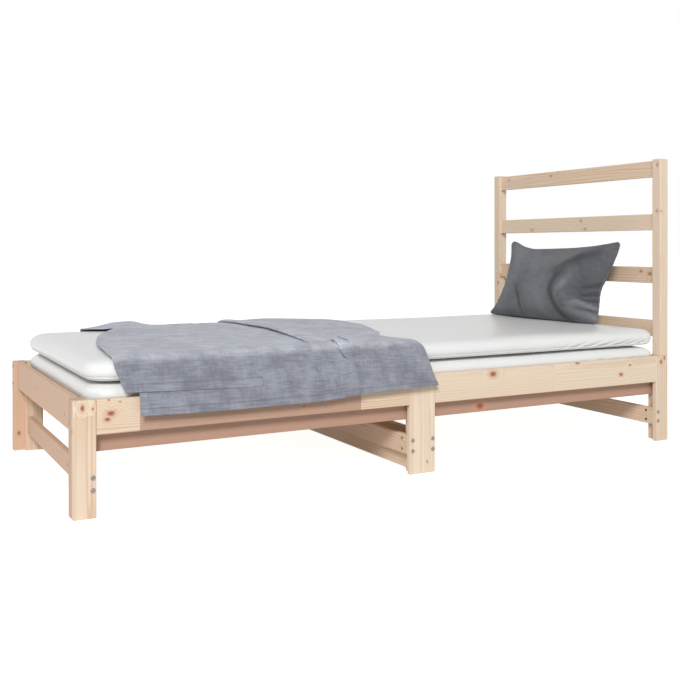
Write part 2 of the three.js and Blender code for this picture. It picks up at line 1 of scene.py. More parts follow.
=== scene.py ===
import bmesh
import bpy
import numpy as np
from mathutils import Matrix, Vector


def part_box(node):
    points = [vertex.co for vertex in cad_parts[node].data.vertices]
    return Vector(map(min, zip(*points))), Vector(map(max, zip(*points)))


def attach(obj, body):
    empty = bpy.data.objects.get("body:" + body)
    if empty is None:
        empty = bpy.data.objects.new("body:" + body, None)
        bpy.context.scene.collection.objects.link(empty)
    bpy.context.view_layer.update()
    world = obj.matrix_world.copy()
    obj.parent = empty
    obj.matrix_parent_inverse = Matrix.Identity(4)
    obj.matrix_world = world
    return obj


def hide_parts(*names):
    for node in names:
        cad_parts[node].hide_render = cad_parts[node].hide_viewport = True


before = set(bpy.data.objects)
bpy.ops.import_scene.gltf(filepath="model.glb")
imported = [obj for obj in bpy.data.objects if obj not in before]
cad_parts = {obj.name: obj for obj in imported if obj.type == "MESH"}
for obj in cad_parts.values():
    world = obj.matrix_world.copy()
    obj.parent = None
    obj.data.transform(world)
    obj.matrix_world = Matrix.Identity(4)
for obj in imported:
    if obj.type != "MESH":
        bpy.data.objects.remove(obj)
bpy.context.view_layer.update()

# --------
# Pine boards. Planed and sanded softwood, left bare, cut to stock 18 and 38 mm thick with eased
# edges. Posts, legs, headboard rails and low stretchers are single lengths, and the long rails
# are glued up from shorter blocks by finger joints, so their tone steps along the rail.
bed_corner = np.array(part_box("pullout_left_leg")[0])


def laid(points):
    """Millimetres in the bed's frame to metres in the model's: a thousandth, moved by the bed's corner."""
    return np.asarray(points, float) / 1000 + bed_corner


def give(node, values):
    """Sets each input of a node, named or numbered, to its value or links it to its socket."""
    for key, value in values.items():
        if isinstance(value, bpy.types.NodeSocket):
            node.id_data.links.new(value, node.inputs[key])
        else:
            node.inputs[key].default_value = value


def shader(kind, values, tree=None, **settings):
    """One shader node with its settings made and its inputs given. It goes into the tree of the
    sockets among them, or into a named one if it has none."""
    for value in values.values():
        if isinstance(value, bpy.types.NodeSocket):
            tree = value.id_data
    made = tree.nodes.new(kind)
    for name, value in settings.items():
        setattr(made, name, value)
    give(made, values)
    return made


def number(operation, *terms):
    """The result of one arithmetic step on one to three numbers or sockets."""
    return shader("ShaderNodeMath", dict(enumerate(terms)), operation=operation).outputs[0]


def scaled(value, by, plus=0.0):
    """A value times a second one, plus a third."""
    return number("MULTIPLY_ADD", value, by, plus)


def vector(operation, *terms):
    """The result of one step on vectors: a number for a length, or else a vector."""
    made = shader("ShaderNodeVectorMath", dict(enumerate(terms)), operation=operation)
    return made.outputs["Value" if operation == "LENGTH" else "Vector"]


def blend(share, first, second, how="MIX"):
    """A colour between two colours, by a share from 0 to 1."""
    values = {0: share, 6: first, 7: second}
    return shader("ShaderNodeMix", values, data_type="RGBA", blend_type=how).outputs[2]


def cloud(place, scale, detail=2.0, rough=0.5):
    """Soft noise from 0 to 1 at a place."""
    values = {"Vector": place, "Scale": scale, "Detail": detail, "Roughness": rough}
    return shader("ShaderNodeTexNoise", values).outputs[0]


def step(value, low, high):
    """0 below low, 1 above high and a smooth rise between them."""
    values = {"Value": value, "From Min": low, "From Max": high}
    made = shader("ShaderNodeMapRange", values, interpolation_type="SMOOTHSTEP", clamp=True)
    return made.outputs[0]


def drop(value, low, high):
    """1 below low, 0 above high and a smooth fall between them."""
    return number("SUBTRACT", 1.0, step(value, low, high))


def relief(height, strength, depth):
    """The surface's own direction, tilted by the slopes of a height."""
    values = {"Height": height, "Strength": strength, "Distance": depth}
    return shader("ShaderNodeBump", values).outputs[0]


def own_place(tree):
    """Where a point lies in its object's own coordinates, which are the model's in metres."""
    return shader("ShaderNodeTexCoord", {}, tree).outputs["Object"]


def new_finish(name):
    """An empty material with its surface shader: returns the material, its tree and the shader."""
    material = bpy.data.materials.new(name)
    material.use_nodes = True
    tree = material.node_tree
    return material, tree, tree.nodes["Principled BSDF"]


early_wood = (0.83, 0.695, 0.540, 1)
late_wood = (0.63, 0.430, 0.280, 1)
rosy_wood = (0.70, 0.475, 0.328, 1)
# A dark red used only for painted shade and painted shadow on the boards.
painted_shade_red = (0.455, 0.276, 0.196, 1)
knot_ring = (0.60, 0.315, 0.175, 1)
knot_wood = (0.36, 0.125, 0.055, 1)
knot_heart = (0.10, 0.038, 0.022, 1)
# A knot's stains, from the bent grain round it to its heart: the reach of each, from where it is
# full to where it ends, in the knot's own radius, then its strength and its colour.
knot_stains = [
    (1.1, 2.6, 0.45, knot_ring), (0.72, 1.15, 0.78, knot_wood), (0.18, 0.62, 0.65, knot_heart),
]
ring_spacing = 0.0046
finger_width = 0.0045


def grainwise(along, share):
    """A factor for each axis: the share along the grain, and 1 across it."""
    return tuple(share if axis == along else 1 for axis in "xyz")


def pine_finish(name, along, pith, tone, knots=(), block=0, stain=1.0, painted_shadow=None):
    """Bare pine. A place's ring is its distance from the pith, which runs with the board and lies
    outside it, moved by slow noise drawn out along the grain and by a swell round each knot. Each
    ring darkens outwards and ends sharply. block is the length of the glued-up pieces, each with a
    tone and a pith of its own, or 0 for a single length. A tone above 1 blends on towards a dark red
    as painted shade. stain is the strength of the knots' colour, and the last argument gives the two
    ends of a redder block painted as a shadow and the share of red in it."""
    material, tree, surface = new_finish(name)
    place = spot = own_place(tree)
    if block:
        parts = shader("ShaderNodeSeparateXYZ", {0: place}).outputs
        finger = number("PINGPONG", parts[0 if along == "z" else 2], finger_width)
        run = scaled(finger, 0.45, parts["xyz".index(along)])
        piece = number("FLOOR", number("DIVIDE", run, block / 1000))
        dice = shader("ShaderNodeTexWhiteNoise", {"W": piece}, noise_dimensions="1D").outputs
        shift = vector("MULTIPLY_ADD", dice["Color"], (0.05,) * 3, (-0.025,) * 3)
        place = vector("ADD", place, vector("MULTIPLY", shift, grainwise(along, 0)))
    from_pith = vector("SUBTRACT", place, tuple(laid(pith)))
    drawn = vector("MULTIPLY", from_pith, grainwise(along, 0.05))
    ring = vector("LENGTH", vector("MULTIPLY", from_pith, grainwise(along, 0)))
    ring = scaled(cloud(drawn, 34.0, 1.0), 0.016, ring)
    nearest = 10.0
    for x, y, z, radius in knots:
        offset = vector("SUBTRACT", spot, tuple(laid((x, y, z))))
        offset = vector("MULTIPLY", offset, grainwise(along, 0.68))
        uneven = scaled(cloud(offset, 330.0), 0.9, -0.45)
        away = scaled(vector("LENGTH", offset), 1000 / radius, uneven)
        nearest = number("MINIMUM", away, nearest)
    if knots:
        ring = scaled(drop(nearest, 0.8, 4.2), 0.011, ring)
    phase = number("FRACT", number("DIVIDE", ring, ring_spacing))
    late = scaled(step(phase, 0.25, 0.93), drop(phase, 0.94, 1.0))
    late = scaled(late, scaled(cloud(drawn, 9.0), 1.45, 0.05))
    fibres = cloud(vector("MULTIPLY", drawn, grainwise(along, 0.5)), 520.0, 2.0, 0.6)
    warm = step(cloud(drawn, 14.0, 1.0), 0.35, 0.75)
    colour = blend(scaled(warm, 0.36), early_wood, rosy_wood)
    colour = blend(late, colour, late_wood)
    if block:
        colour = blend(scaled(dice["Value"], 0.42), colour, rosy_wood)
    colour = blend(min(abs(tone), 1.0), colour, rosy_wood if tone > 0 else early_wood)
    # Painted shade: a tone above 1 blends on towards a dark red.
    if tone > 1:
        colour = blend(tone - 1, colour, painted_shade_red)
    # A painted shadow: a redder block between two places along the board.
    if painted_shadow:
        ends = [laid((end, 0, 0))[0] for end in painted_shadow[:2]]
        painted_shadow_span = number("SUBTRACT", *(step(run, end, end + 0.001) for end in ends))
        colour = blend(scaled(painted_shadow_span, painted_shadow[2]), colour, painted_shade_red)
    grey = scaled(fibres, 0.16, 0.92)
    grey = shader("ShaderNodeCombineColor", {0: grey, 1: grey, 2: grey}).outputs[0]
    colour = blend(1.0, colour, grey, "MULTIPLY")
    for inner, outer, strength, stained in knot_stains if knots else ():
        reach = drop(nearest, inner, outer)
        colour = blend(scaled(reach, strength * stain), colour, stained)
    give(surface, {
        "Base Color": colour,
        "Specular IOR Level": 0.35,
        "Roughness": scaled(fibres, 0.18, 0.50),
        "Normal": relief(scaled(late, 0.35, fibres), 0.28, 0.0004),
    })
    return material


def dress(node, finish):
    """Puts a finish in each slot of a CAD node."""
    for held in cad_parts[node].material_slots:
        held.material = finish


# Each board: its grain, where its pith runs, how dark it is (above 1 as painted shade), and for
# some its knots as X, Y, Z and radius, the length of its glued-up blocks, the strength of its knots
# and a redder block painted as a shadow.
boards = {
    "pullout_left_leg": ("z", (30, 90, 0), -0.15, [
        (22.6, 0, 280.6, 5), (49, 0, 277, 2.2), (0, 16, 222, 4),
    ], 262),
    "pullout_middle_leg": ("z", (1000, -140, 0), -0.55, [(1056, 0, 34, 2.5)]),
    "pullout_right_leg": ("z", (2110, 80, 0), -0.1, [(2046, 0, 279, 5), (2062, 0, 292, 4.2)]),
    # Its redder block from 170 to 826 mm is the blanket's shadow on the rail, painted.
    "pullout_left_rail": ("x", (0, 60, 180), 0.2, [
        (94.7, 0, 262, 7), (85.8, 0, 247.4, 5), (89, 0, 296.7, 2), (118, 0, 290, 1.8), (640, 0, 236, 3),
    ], 410, 1, (170, 826, 0.86)),
    "pullout_right_rail": ("x", (0, -70, 300), -0.5, [
        (1305, 0, 284, 8.5), (1656, 0, 300, 5.5), (1854, 0, 247, 5.5), (1896, 0, 277, 3.2),
    ], 520),
    # Painted shade: its tone above 1 darkens it for the shade on its side at the foot end.
    "pullout_stretcher_1": ("y", (120, 0, 40), 1.25, [(40, 260, 84, 4)]),
    "pullout_stretcher_2": ("y", (900, 0, 150), 0.5),
    "pullout_stretcher_3": ("y", (1160, 0, 20), 0.5),
    "pullout_stretcher_4": ("y", (1920, 0, 150), 0.3, [(2022, 420, 92, 4)]),
    "pullout_rear_leg_1": ("z", (40, 980, 0), 0.5),
    "pullout_rear_leg_2": ("z", (960, 800, 0), 0.4),
    "pullout_rear_leg_3": ("z", (1110, 960, 0), 0.4),
    "pullout_rear_leg_4": ("z", (2080, 780, 0), 0.4),
    "pullout_ledger": ("x", (0, 90, 300), 0.3, [], 600),
    # Painted shade: its tone above 1 darkens it for the shade on its side at the foot end.
    "front_left_post": ("z", (80, 110, 0), 1.45, [(0, 53, 236, 4)]),
    "front_middle_post": ("z", (1100, 120, 0), 0.3),
    "back_middle_post": ("z", (980, 840, 0), 0.3),
    # Painted shade: its tone above 1 darkens it for the shade on its side at the foot end.
    "back_left_post": ("z", (-60, 1000, 0), 1.2, [(16, 916, 58, 5)]),
    "headboard_front_post": ("z", (1990, -60, 0), -0.4, [
        (2042, 15, 815, 4), (2046, 0, 814, 3), (2042, 14, 979, 5),
    ], 0, 0.6),
    "headboard_front_foot": ("z", (2000, 120, 0), 0.2),
    "headboard_back_post": ("z", (2140, 860, 0), -0.15, [
        (2058, 916, 937, 4.5), (2058, 916, 745, 5), (2052, 918, 560, 7), (2044, 926, 530, 5),
    ], 0, 0.7),
    "headboard_rail_1": ("y", (1960, 0, 1010), 0.3, [
        (2052, 863, 976, 4), (2052, 546, 995, 4), (2052, 589, 979, 5),
    ], 0, 0.55),
    "headboard_rail_2": ("y", (2000, 0, 700), -0.2, [
        (2052, 413, 790, 5), (2052, 390, 758, 5), (2052, 709, 759, 6),
    ], 0, 0.5),
    "headboard_rail_3": ("y", (2140, 0, 640), 0.42, [(2052, 100, 598, 5), (2052, 58, 590, 7)], 0, 0.75),
    "headboard_rail_4": ("y", (1980, 0, 300), 0.2, [(2052, 90, 380, 4)], 0, 0.7),
    # Painted shade: its tone above 1 darkens it for the shade on its side at the foot end.
    "foot_rail": ("y", (-40, 0, 380), 1.1, [(10, 151, 243, 4), (10, 560, 262, 4)], 0, 0.7),
    "head_rail": ("y", (2140, 0, 200), 0.25),
    "back_rail": ("x", (0, 1000, 180), 0.25, [
        (300, 934, 250, 6), (1180, 944, 236, 5), (1700, 934, 262, 4),
    ], 480),
    # Painted shade: its tone above 1 darkens it as the shade beneath the front rail.
    "inner_rail": ("x", (0, 100, 100), 1.95, [(1275, 29, 181, 11)], 700),
    "middle_low_rail": ("y", (940, 0, 90), 0.45),
    "back_ledger": ("x", (0, 860, 300), 0.3, [], 640),
}
for node, facts in boards.items():
    dress(node, pine_finish(f"bare_pine_{node}", *facts))

# --------
# Slats. Fifteen sawn pine boards 90 by 18 mm, of a plainer grade than the frame, screwed by
# their ends to the strips. Eight belong to the fixed frame and seven slide between them.
slats = sorted(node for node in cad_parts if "_slat_" in node)
for number_of, node in enumerate(slats):
    low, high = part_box(node)
    middle = (np.array(low + high) / 2 - bed_corner) * 1000
    side = 1 if number_of % 2 else -1
    pith = (middle[0] + side * (24 + 9 * (number_of % 5)), 0, middle[2] - 30 - 14 * (number_of % 4))
    spots = [(middle[0] - 18 * side, 160 + 90 * (number_of % 7), 271, 5 + number_of % 3)]
    tone = 0.12 + 0.05 * (number_of % 4)
    dress(node, pine_finish(f"slat_pine_{number_of + 1}", "y", pith, tone, spots))

# --------
# Connecting bolts. Zinc-plated steel, M6, with a low round head and a hexagon socket. Each goes
# through one board into a barrel nut that lies across a hole in the next, and draws them tight.
bolt_head_radius = 6.35
bolt_head_rise = 2.6
socket_radius = 2.4
socket_depth = 1.5
shank_radius = 2.95
nut_radius = 4.95
nut_length, chamfer = 13.0, 0.6


def zinc_finish():
    """Dull plated steel: grey with faint clouds, its shine broken by fine scratches, and black where
    it is oxidised instead, on the barrel nuts."""
    material, tree, surface = new_finish("zinc_plate")
    place = own_place(tree)
    black = shader("ShaderNodeAttribute", {}, tree, attribute_name="black_oxide").outputs["Fac"]
    colour = blend(cloud(place, 420.0, 3.0), (0.22, 0.208, 0.190, 1), (0.36, 0.338, 0.305, 1))
    scratches = cloud(vector("MULTIPLY", place, (1, 6, 1)), 900.0)
    give(surface, {
        "Base Color": blend(black, colour, (0.012, 0.010, 0.009, 1)),
        "Metallic": 0.85,
        "Roughness": scaled(scratches, 0.25, 0.46),
        "Normal": relief(scratches, 0.2, 0.0001),
    })
    return material


zinc = zinc_finish()


def placed(name, data):
    """A new object in the scene that holds a mesh, a light or a camera."""
    made = bpy.data.objects.new(name, data)
    bpy.context.scene.collection.objects.link(made)
    return made


def skin(name, points, around=False, ends=False, flat=None):
    """A mesh over a grid of points in metres, one four-sided face to a cell. around joins the last
    column to the first, ends draws the first and last row together, and flat gives each point's
    place on the flat cloth as its UV."""
    rows, columns = points.shape[:2]
    order = np.arange(rows * columns).reshape(rows, columns)
    if around:
        order = np.hstack([order, order[:, :1]])
    cells = np.stack([order[:-1, :-1], order[:-1, 1:], order[1:, 1:], order[1:, :-1]], -1).reshape(-1, 4)
    places = points.reshape(-1, 3)
    faces = cells.tolist()
    if ends:
        middles = points[[0, -1]].mean(1)
        places = np.vstack([places, middles])
        count = rows * columns
        foot = np.stack([order[0, 1:], order[0, :-1], np.full(columns, count)], -1)
        head = np.stack([order[-1, :-1], order[-1, 1:], np.full(columns, count + 1)], -1)
        faces += foot.tolist() + head.tolist()
    mesh = bpy.data.meshes.new(name)
    mesh.from_pydata(places.tolist(), [], faces)
    if flat is not None:
        layer = mesh.uv_layers.new(name="flat_cloth")
        corners = np.empty(len(mesh.loops), int)
        mesh.loops.foreach_get("vertex_index", corners)
        layer.data.foreach_set("uv", flat.reshape(-1, 2)[corners].ravel())
    mesh.polygons.foreach_set("use_smooth", np.ones(len(mesh.polygons), bool))
    mesh.update()
    return placed(name, mesh)


def facing_out(piece):
    """Turns a closed mesh's faces to point outwards, after its doubled points are merged."""
    work = bmesh.new()
    work.from_mesh(piece.data)
    bmesh.ops.remove_doubles(work, verts=work.verts, dist=1e-7)
    bmesh.ops.recalc_face_normals(work, faces=work.faces)
    work.to_mesh(piece.data)
    work.free()
    return piece


def turned(profile, axis_point, direction, segments=36, socket_rows=0):
    """A profile of radius and rise turned round an axis. The first socket_rows rows are drawn to a
    hexagon: their radius is divided by the cosine of the angle from the nearest flat's middle."""
    direction = np.asarray(direction, float)
    side = np.cross(direction, (0, 0, 1) if abs(direction[2]) < 0.5 else (1, 0, 0))
    up = np.cross(side, direction)
    angle = np.arange(segments) * 2 * np.pi / segments
    radius, rise = np.asarray(profile, float).T
    to_flat = np.mod(angle, np.pi / 3) - np.pi / 6
    shape = np.ones((len(radius), segments))
    shape[:socket_rows] = np.cos(np.pi / 6) / np.cos(to_flat)
    reach = radius[:, None] * shape
    ring = reach[..., None] * (np.cos(angle)[:, None] * side + np.sin(angle)[:, None] * up)
    return laid(axis_point + ring + rise[:, None, None] * direction)


head_profile = [
    (socket_radius * 0.3, bolt_head_rise - socket_depth), (socket_radius, bolt_head_rise - socket_depth),
    (socket_radius, bolt_head_rise - 0.25), (socket_radius + 0.25, bolt_head_rise),
    (4.2, bolt_head_rise - 0.05), (5.3, bolt_head_rise - 0.45), (6.1, bolt_head_rise - 1.2),
    (bolt_head_radius, bolt_head_rise - 1.9), (bolt_head_radius, 0.35), (6.0, 0.0),
]


def joined(name, shells, finish, body, closed=True):
    """One piece of several shells, dressed, ridden on its body and given its slot."""
    work = bmesh.new()
    for shell in shells:
        work.from_mesh((facing_out(shell) if closed else shell).data)
        bpy.data.objects.remove(shell)
    mesh = bpy.data.meshes.new(name)
    work.to_mesh(mesh)
    work.free()
    mesh.materials.append(finish)
    piece = placed(name, mesh)
    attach(piece, body)
    return piece


def bolt_shells(face, inwards, grip, nut_side):
    """A bolt from its head's seat on a face: the head and the shank down to a chamfered tip are one
    turned profile, and the barrel nut is a second, across the shank, its chamfered end just inside
    the mouth of its hole."""
    face, inwards, nut_side = np.array([face, inwards, nut_side], float)
    tip = grip + nut_setback + bolt_past_nut
    shank = [(shank_radius, -0.02), (shank_radius, 0.4 - tip), (shank_radius - 0.8, -tip)]
    turn = turned(head_profile + shank, face, -inwards, socket_rows=3)
    bolt = skin("bolt", turn, around=True, ends=True)
    mouth = face + inwards * (grip + nut_setback) + nut_side * (half_board - nut_recess)
    nut_profile = [
        (nut_radius - chamfer, 0), (nut_radius, -chamfer),
        (nut_radius, chamfer - nut_length), (nut_radius - chamfer, -nut_length),
    ]
    nut = skin("nut", turned(nut_profile, mouth, nut_side, segments=28), around=True, ends=True)
    black = nut.data.attributes.new("black_oxide", "FLOAT", "POINT")
    black.data.foreach_set("value", np.ones(len(nut.data.vertices)))
    return [bolt, nut]


nut_setback, nut_recess, bolt_past_nut, half_board = 30.0, 1.5, 8.0, 9.0
front_grip, post_grip = 18.3, 38.0
stretcher_middles = (49.0, 1004.0, 1076.0, 2031.0)
low_bolts, high_bolts = (71.0, 103.0), (226.0, 284.0)
cross_bolts = (241.0, 269.0)
rear_leg_back, bed_back, bed_end, back_post_middle = 915.0, 954.0, 2080.0, 935.0
for count, (x, z) in enumerate(((x, z) for x in stretcher_middles for z in low_bolts), 1):
    shells = bolt_shells((x, 0, z), (0, 1, 0), front_grip, (-1, 0, 0))
    bolt = joined(f"pullout_bolt_steel_{count}", shells, zinc, "pullout_frame")
    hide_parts(f"pullout_bolt_{count}")
for count, z in enumerate(high_bolts, 1):
    shells = bolt_shells((0, back_post_middle, z), (1, 0, 0), post_grip, (0, -1, 0))
    bolt = joined(f"frame_bolt_steel_{count}", shells, zinc, "fixed_frame")
    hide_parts(f"frame_bolt_{count}")


def head_shell(face, outwards):
    """A bolt's head alone, a little larger than the solid's own, over the end that it covers."""
    covering = [(radius * 1.03, rise * 1.05) for radius, rise in head_profile]
    return skin("head", turned(covering, face, outwards, socket_rows=3), around=True, ends=True)


front_seat, post_middles = 23.0, (19.0, 2061.0)
fixed_heads = [
    ((x, y, z), (0, outwards, 0))
    for y, outwards in ((front_seat, -1), (bed_back, 1)) for x in post_middles for z in cross_bolts
]
fixed_heads += [((bed_end, back_post_middle, z), (1, 0, 0)) for z in high_bolts]
rear_heads = [((x, rear_leg_back, z), (0, 1, 0)) for x in stretcher_middles for z in low_bolts]
joined("frame_bolt_heads", [head_shell(*head) for head in fixed_heads], zinc, "fixed_frame")
joined("rear_leg_bolt_heads", [head_shell(*head) for head in rear_heads], zinc, "pullout_frame")

# --------
# Mattresses. Two blocks of foam 2000 by 900 by 64 mm in smooth white covers with a satin face.
# The covers are sewn round the foot with a welt, and lie loose enough to round every edge.
half_length, half_width = 1000.0, 450.0
mattress_x, mattress_y = 40.0, 22.0
lower_z, upper_z = 271.3, 335.6
foot_radius, head_radius = 75.0, 30.0
mattress_tucks = [
    (1596, 1662, 3), (1640, 1736, 5.5), (1688, 1812, 6.5), (1742, 1892, 7), (1806, 1962, 7),
    (1868, 2004, 6.5), (1936, 2030, 5),
]


def legs(x, y, line):
    """Each leg of a line of X, Y and a third value, with its own run in X and Y: for every point its
    distance from the leg, its side of it as a signed area, and the third value nearest to it."""
    for (ax, ay, first), (bx, by, last) in zip(line[:-1], line[1:]):
        dx, dy = bx - ax, by - ay
        share = np.clip(((x - ax) * dx + (y - ay) * dy) / (dx * dx + dy * dy), 0, 1)
        away = np.hypot(x - ax - share * dx, y - ay - share * dy)
        yield dx, dy, away, (y - ay) * dx - (x - ax) * dy, first + (last - first) * share


def fold(x, y, line, before, after):
    """A ridge along a line of X, Y and height: its height falls off as a bell with distance, with
    one half width on the side left of the line's way and one on the right of it."""
    nearest, result = np.full(x.shape, np.inf), np.zeros(x.shape)
    for _, _, away, side, height in legs(x, y, line):
        height = height * np.exp(-((away / np.where(side > 0, before, after)) ** 2))
        result = np.where(away < nearest, height, result)
        nearest = np.minimum(nearest, away)
    return result


def folded(x, y, ridges):
    """The sum of several ridges, each given by its line and its two half widths."""
    return sum(fold(x, y, *ridge) for ridge in ridges)


def waves(place, scale, distortion, direction):
    """Bands from 0 to 1 along a direction, slightly uneven."""
    values = {"Vector": place, "Scale": scale, "Distortion": distortion, "Detail": 1.0}
    made = shader("ShaderNodeTexWave", values, wave_type="BANDS", bands_direction=direction)
    return made.outputs[1]


def cover_finish():
    """White cover cloth: satin shine, fine knitted rows as bump, and faint soft clouds of tone."""
    material, tree, surface = new_finish("white_cover")
    place = own_place(tree)
    knit = waves(place, 900.0, 1.5, "DIAGONAL")
    give(surface, {
        "Base Color": blend(cloud(place, 7.0), (0.785, 0.795, 0.788, 1), (0.84, 0.846, 0.838, 1)),
        "Specular IOR Level": 0.45,
        "Sheen Weight": 0.15,
        "Roughness": scaled(knit, 0.08, 0.27),
        "Normal": relief(knit, 0.12, 0.0003),
    })
    return material


white_cover = cover_finish()


def mattress_skin(name, bottom, seed):
    """Rounded rectangles, each set in by a row of a profile that runs from the foot's middle round
    the welt, up the side and in to the crown. The side swells between welt and roll along its own outline by
    a few slow waves, and short slanting tucks pull the front face near the head."""
    inset, rise = np.array([
        (440, 0), (300, 0), (150, 0), (80, 0), (46, 0.1), (33, 0.7), (24, 2.0), (17, 4.0), (12, 6.4),
        (8.6, 9.0), (6.6, 11.2), (6.2, 12.2), (7.6, 13.0), (7.4, 13.8), (5.4, 14.8), (4.2, 16.4), (2.6, 19),
        (1.4, 22), (0.4, 25.5), (0, 29), (0.3, 33), (1.4, 37.4), (3.4, 41.6), (6.4, 45.6), (10.4, 49.3),
        (15.4, 52.6), (21.4, 55.4), (28.6, 57.7), (37, 59.5), (48, 61.0), (62, 62.0), (84, 62.8),
        (120, 63.3), (180, 63.6), (260, 63.8), (340, 64), (440, 64),
    ]).T
    corner_steps = 18
    edges = np.linspace(0, 1, 121)[1:-1]
    front_edges = np.concatenate([np.linspace(0, 0.74, 56)[1:], np.linspace(0.74, 1, 150)[1:-1]])
    turns = np.linspace(0, 1, corner_steps + 1)
    xs, ys = [], []
    signs = [(1, 1), (-1, 1), (-1, -1), (1, -1)]
    radii = [np.maximum((head_radius if sx > 0 else foot_radius) - inset, 2)[:, None] for sx, _ in signs]
    reach_x, reach_y = half_length - inset[:, None], half_width - inset[:, None]
    for corner, (sx, sy) in enumerate(signs):
        angle = (corner + turns) * np.pi / 2
        radius, next_radius = radii[corner], radii[(corner + 1) % 4]
        nx, ny = signs[(corner + 1) % 4]
        xs.append(sx * (reach_x - radius) + radius * np.cos(angle))
        ys.append(sy * (reach_y - radius) + radius * np.sin(angle))
        steps = edges[::2] if sx == nx else front_edges if sy < 0 else edges
        turn = (corner + 1) * np.pi / 2
        for line, sign, following, reach, turning in (
            (xs, sx, nx, reach_x, np.cos(turn)), (ys, sy, ny, reach_y, np.sin(turn)),
        ):
            first = sign * (reach - radius) + radius * turning
            last = following * (reach - next_radius) + next_radius * turning
            line.append(first + (last - first) * steps)
    x, y = np.hstack(xs), np.hstack(ys)
    z = np.broadcast_to(rise[:, None], x.shape).copy()
    top = np.clip((rise[:, None] - 30) / 30, 0, 1)
    z += top * 0.7 * (np.sin(x / 97 + seed) * np.cos(y / 71 - seed) - 1)
    side = np.clip(1 - np.abs(rise[:, None] - 34) / 26, 0, 1)
    full_x, full_y = x[np.argmin(inset)], y[np.argmin(inset)]
    around = np.cumsum(np.hypot(np.diff(full_x, prepend=full_x[0]), np.diff(full_y, prepend=full_y[0])))
    swell = side * (0.8 * np.sin(around / 83 + seed) + 0.5 * np.sin(around / 31 + 2 * seed) - 1.3)
    place = x + mattress_x + half_length
    pull = folded(place, z, [
        ([(start, 4, 0.5), ((start + end) / 2, 15, depth), (end, 32, 0)], 3.4, 5.0)
        for start, end, depth in mattress_tucks
    ])
    front = y < -half_width + 30
    swell = np.minimum(np.where(front, swell - pull * np.clip(place / 60 - 25, 0, 1), swell), 0)
    x += np.sign(x) * swell * np.abs(np.cos(np.arctan2(y, x)))
    y += np.sign(y) * swell * np.where(front, 1, np.abs(np.sin(np.arctan2(y, x))))
    x += mattress_x + half_length
    y += mattress_y + half_width
    return facing_out(skin(name, laid(np.stack([x, y, z + bottom], -1)), around=True, ends=True))


for name, bottom, seed in (("lower_mattress_cover", lower_z, 0.4), ("upper_mattress_cover", upper_z, 2.1)):
    mattress = mattress_skin(name, bottom, seed)
    mattress.data.materials.append(white_cover)
    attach(mattress, "pullout_frame")
    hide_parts(name.replace("_cover", ""))

# --------
# Blanket. One washed linen throw, doubled back on itself over the foot half: the lower layer
# hangs in front of the rail to a stitched hem, and the upper one, set a little to the left, ends
# in a hem of its own. It is laid loosely, so it carries a long diagonal fold and pinched creases.

# A lapped fold's profile: the distance across it on the flat cloth, then where that point goes and
# how high it stands. The cloth runs in under the lip, up its wall and back over it.
lap_rows = np.array([
    (-30, -30, 0), (-20, -20, 0), (-13, -10.5, 0.2), (-8, -1, 0.6), (-5, 4, 1.6), (-2.5, 5.5, 4.2),
    (0, 2.5, 7.4), (2.5, -4, 9.4), (5, -9, 10.8), (8, -9, 12.6), (12, -3, 13.8), (18, 6, 14),
    (30, 23, 12.4), (55, 53, 8.2), (90, 90, 3.2), (130, 130, 0),
])


def lap(x, y, line, size):
    """A fold that laps over along a line of X, Y and strength, its lip to the right of the line's
    way, or to the left for a negative size. Gives each point's height and its slide in X and Y."""
    nearest = np.full(x.shape, np.inf)
    lift, slide_x, slide_y = np.zeros((3,) + x.shape)
    for dx, dy, away, side, strength in legs(x, y, line):
        across = np.sign(side) * away / size
        strength = strength * abs(size)
        spread = [
            np.mean([np.interp(across + d, lap_rows[:, 0], column) for d in (-1.5, 0, 1.5)], 0)
            for column in lap_rows.T
        ]
        slide = (spread[1] - spread[0]) * strength * np.sign(size) / np.hypot(dx, dy)
        near = away < nearest
        lift = np.where(near, spread[2] * strength, lift)
        slide_x, slide_y = np.where(near, -dy * slide, slide_x), np.where(near, dx * slide, slide_y)
        nearest = np.minimum(nearest, away)
    return np.stack([lift, slide_x, slide_y])


def rumple(x, y, seed, length, count=7):
    """Slow unevenness: the mean of a few sine waves of about one length, each with its own turn."""
    draw = np.random.default_rng(seed)
    total = np.zeros(x.shape)
    ranges = ((0, np.pi), (0, 6.28), (0.7, 1.5))
    for turn, start, scale in zip(*(draw.uniform(low, high, count) for low, high in ranges)):
        total += np.sin((x * np.cos(turn) + y * np.sin(turn)) * 6.28 * scale / length + start)
    return total / count


def smooth_line(rows, at):
    """A curve through rows of values by their first column, rounded by averaging it over a span."""
    rows = np.asarray(rows, float)
    span = np.linspace(-9, 9, 7)
    return np.mean([
        np.stack([np.interp(at + d, rows[:, 0], column) for column in rows[:, 1:].T], -1) for d in span
    ], 0)


